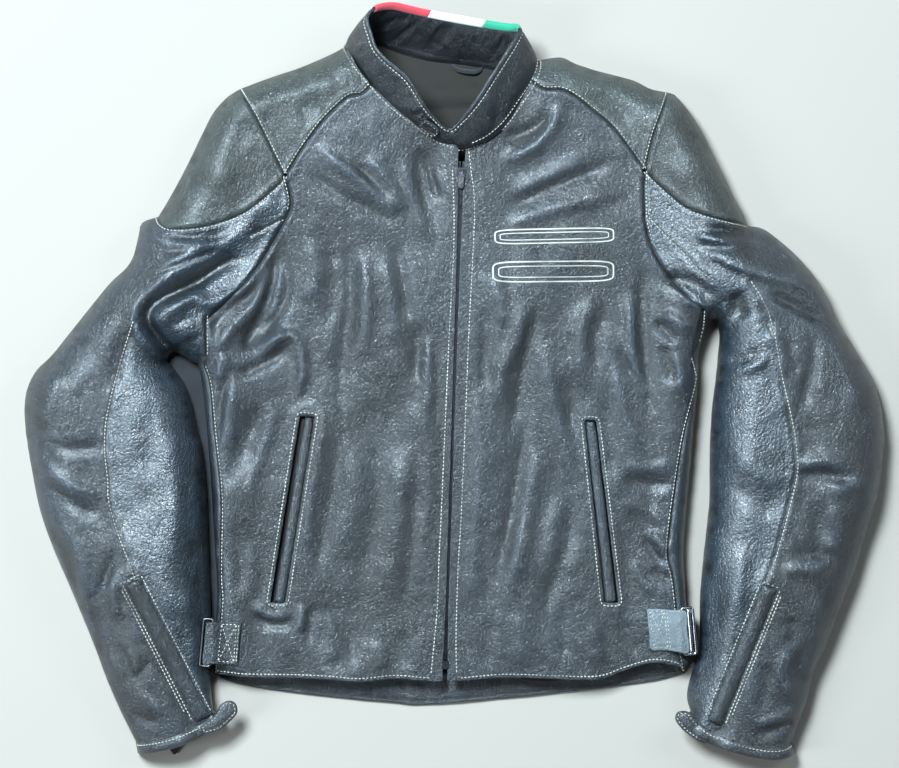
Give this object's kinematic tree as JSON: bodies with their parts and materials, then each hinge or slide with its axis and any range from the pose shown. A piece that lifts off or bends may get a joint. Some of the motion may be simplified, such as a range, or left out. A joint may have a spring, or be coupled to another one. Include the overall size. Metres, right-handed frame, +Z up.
{
  "type": "leather riding jacket",
  "caption": "Leather riding jacket lying flat on its back: zip front, banded collar, yoked shoulders, pre-curved sleeves with zipped cuffs, welt hand pockets and waist adjusters.",
  "frame": {"origin": "point on the outside of the back panel that rests on the ground, midway across the back", "axes": "+Z up out of the chest, +Y towards the collar, +X towards the wearer's left sleeve"},
  "size_m": [0.8627, 0.7541, 0.081],
  "materials": {
    "leather_navy": "worn pigmented cowhide, semi-gloss",
    "leather_olive": "worn pigmented cowhide, faded olive grey",
    "leather_trim": "smooth dark trim leather",
    "leather_light": "rubbed light grey leather",
    "lining": "matt polyester lining",
    "protector_foam": "closed-cell impact foam",
    "zip_tape": "woven zip tape",
    "zip_metal": "gunmetal plated",
    "zip_pull_leather": "dark pull tag",
    "ring_metal": "satin nickel wire",
    "binding": "woven binding in three bands"
  },
  "bodies": {
    "torso": {"front_panel_right": "leather_navy", "front_panel_left": "leather_navy", "shoulder_yoke_right": "leather_olive", "shoulder_yoke_left": "leather_olive", "side_panel_right": "leather_trim", "side_panel_left": "leather_trim", "back_panel": "leather_navy", "back_yoke": "leather_olive", "back_hem_facing": "leather_trim", "back_protector": "protector_foam", "lining_back": "lining", "lining_front_right": "lining", "lining_front_left": "lining", "zip_facing_right": "leather_trim", "zip_facing_left": "leather_trim", "zip_tape_right": "zip_tape", "zip_tape_left": "zip_tape", "zip_teeth_right": "zip_metal", "zip_teeth_left": "zip_metal", "zip_end_box": "zip_metal", "upper_sleeve_right": "leather_navy", "shoulder_cap_right": "leather_olive", "upper_sleeve_left": "leather_navy", "shoulder_cap_left": "leather_olive", "shoulder_protector_right": "protector_foam", "shoulder_protector_left": "protector_foam", "collar_outer": "leather_navy", "collar_lining": "lining", "collar_binding": "binding", "hanger_loop": "zip_tape", "pocket_welt_right": "leather_navy", "pocket_welt_left": "leather_navy", "pocket_bag_right": "lining", "pocket_bag_left": "lining", "waist_tab_right": "leather_navy", "waist_tab_left": "leather_light", "waist_strap_right": "leather_navy", "waist_strap_left": "leather_navy"},
    "right_forearm": {"forearm_sleeve_right": "leather_navy", "cuff_band_right": "leather_trim", "cuff_zip_chain_right": "zip_metal", "cuff_zip_flap_right": "leather_navy", "elbow_protector_right": "protector_foam"},
    "right_cuff_tab": {"cuff_tab_right": "leather_trim"},
    "right_cuff_slider": {"cuff_zip_slider_right": "zip_metal"},
    "right_waist_ring": {"waist_ring_right": "ring_metal"},
    "left_forearm": {"forearm_sleeve_left": "leather_navy", "cuff_band_left": "leather_trim", "cuff_zip_chain_left": "zip_metal", "cuff_zip_flap_left": "leather_navy", "elbow_protector_left": "protector_foam"},
    "left_cuff_tab": {"cuff_tab_left": "leather_trim"},
    "left_cuff_slider": {"cuff_zip_slider_left": "zip_metal"},
    "left_waist_ring": {"waist_ring_left": "ring_metal"},
    "front_slider": {"zip_slider": "zip_metal"},
    "front_pull": {"zip_pull": "zip_pull_leather"},
    "neck_tab": {"collar_tab": "leather_trim"}
  },
  "joints": [
    {"name": "front_zip_slide", "type": "slide", "parent": "torso", "child": "front_slider", "axis": [-0.0324, -0.999, -0.0314], "range_m": [0, 0.46]},
    {"name": "zip_pull_flip", "type": "hinge", "parent": "front_slider", "child": "front_pull", "pos_m": [0.01121, 0.2099, 0.04881], "axis": [-0.9995, 0.0324, 0], "range_deg": [0, 95]},
    {"name": "right_elbow_straighten", "type": "hinge", "parent": "torso", "child": "right_forearm", "pos_m": [-0.338, -0.031, 0.03], "axis": [0, 0, -1], "range_deg": [0, 22]},
    {"name": "left_elbow_straighten", "type": "hinge", "parent": "torso", "child": "left_forearm", "pos_m": [0.35, -0.031, 0.03], "axis": [0, 0, 1], "range_deg": [0, 25]},
    {"name": "right_cuff_tab_lift", "type": "hinge", "parent": "right_forearm", "child": "right_cuff_tab", "pos_m": [-0.2495, -0.348, 0.0355], "axis": [0.53, -0.848, 0], "range_deg": [0, 70]},
    {"name": "left_cuff_tab_lift", "type": "hinge", "parent": "left_forearm", "child": "left_cuff_tab", "pos_m": [0.2645, -0.3555, 0.04243], "axis": [0.486, 0.874, 0], "range_deg": [0, 70]},
    {"name": "right_cuff_zip_slide", "type": "slide", "parent": "right_forearm", "child": "right_cuff_slider", "axis": [-0.4357, 0.8844, 0.1676], "range_m": [0, 0.105]},
    {"name": "left_cuff_zip_slide", "type": "slide", "parent": "left_forearm", "child": "left_cuff_slider", "axis": [0.3626, 0.9221, 0.1347], "range_m": [0, 0.105]},
    {"name": "right_waist_ring_swing", "type": "hinge", "parent": "torso", "child": "right_waist_ring", "pos_m": [-0.236, -0.235, 0.039], "axis": [0.085, 0.9964, 0], "range_deg": [0, 75]},
    {"name": "left_waist_ring_swing", "type": "hinge", "parent": "torso", "child": "left_waist_ring", "pos_m": [0.2345, -0.27, 0.038], "axis": [0.087, -0.9962, 0], "range_deg": [0, 75]},
    {"name": "neck_tab_open", "type": "hinge", "parent": "torso", "child": "neck_tab", "pos_m": [-0.01058, 0.2489, 0.05881], "axis": [0.5287, 0.4244, 0.7351], "range_deg": [0, 100]}
  ]
}
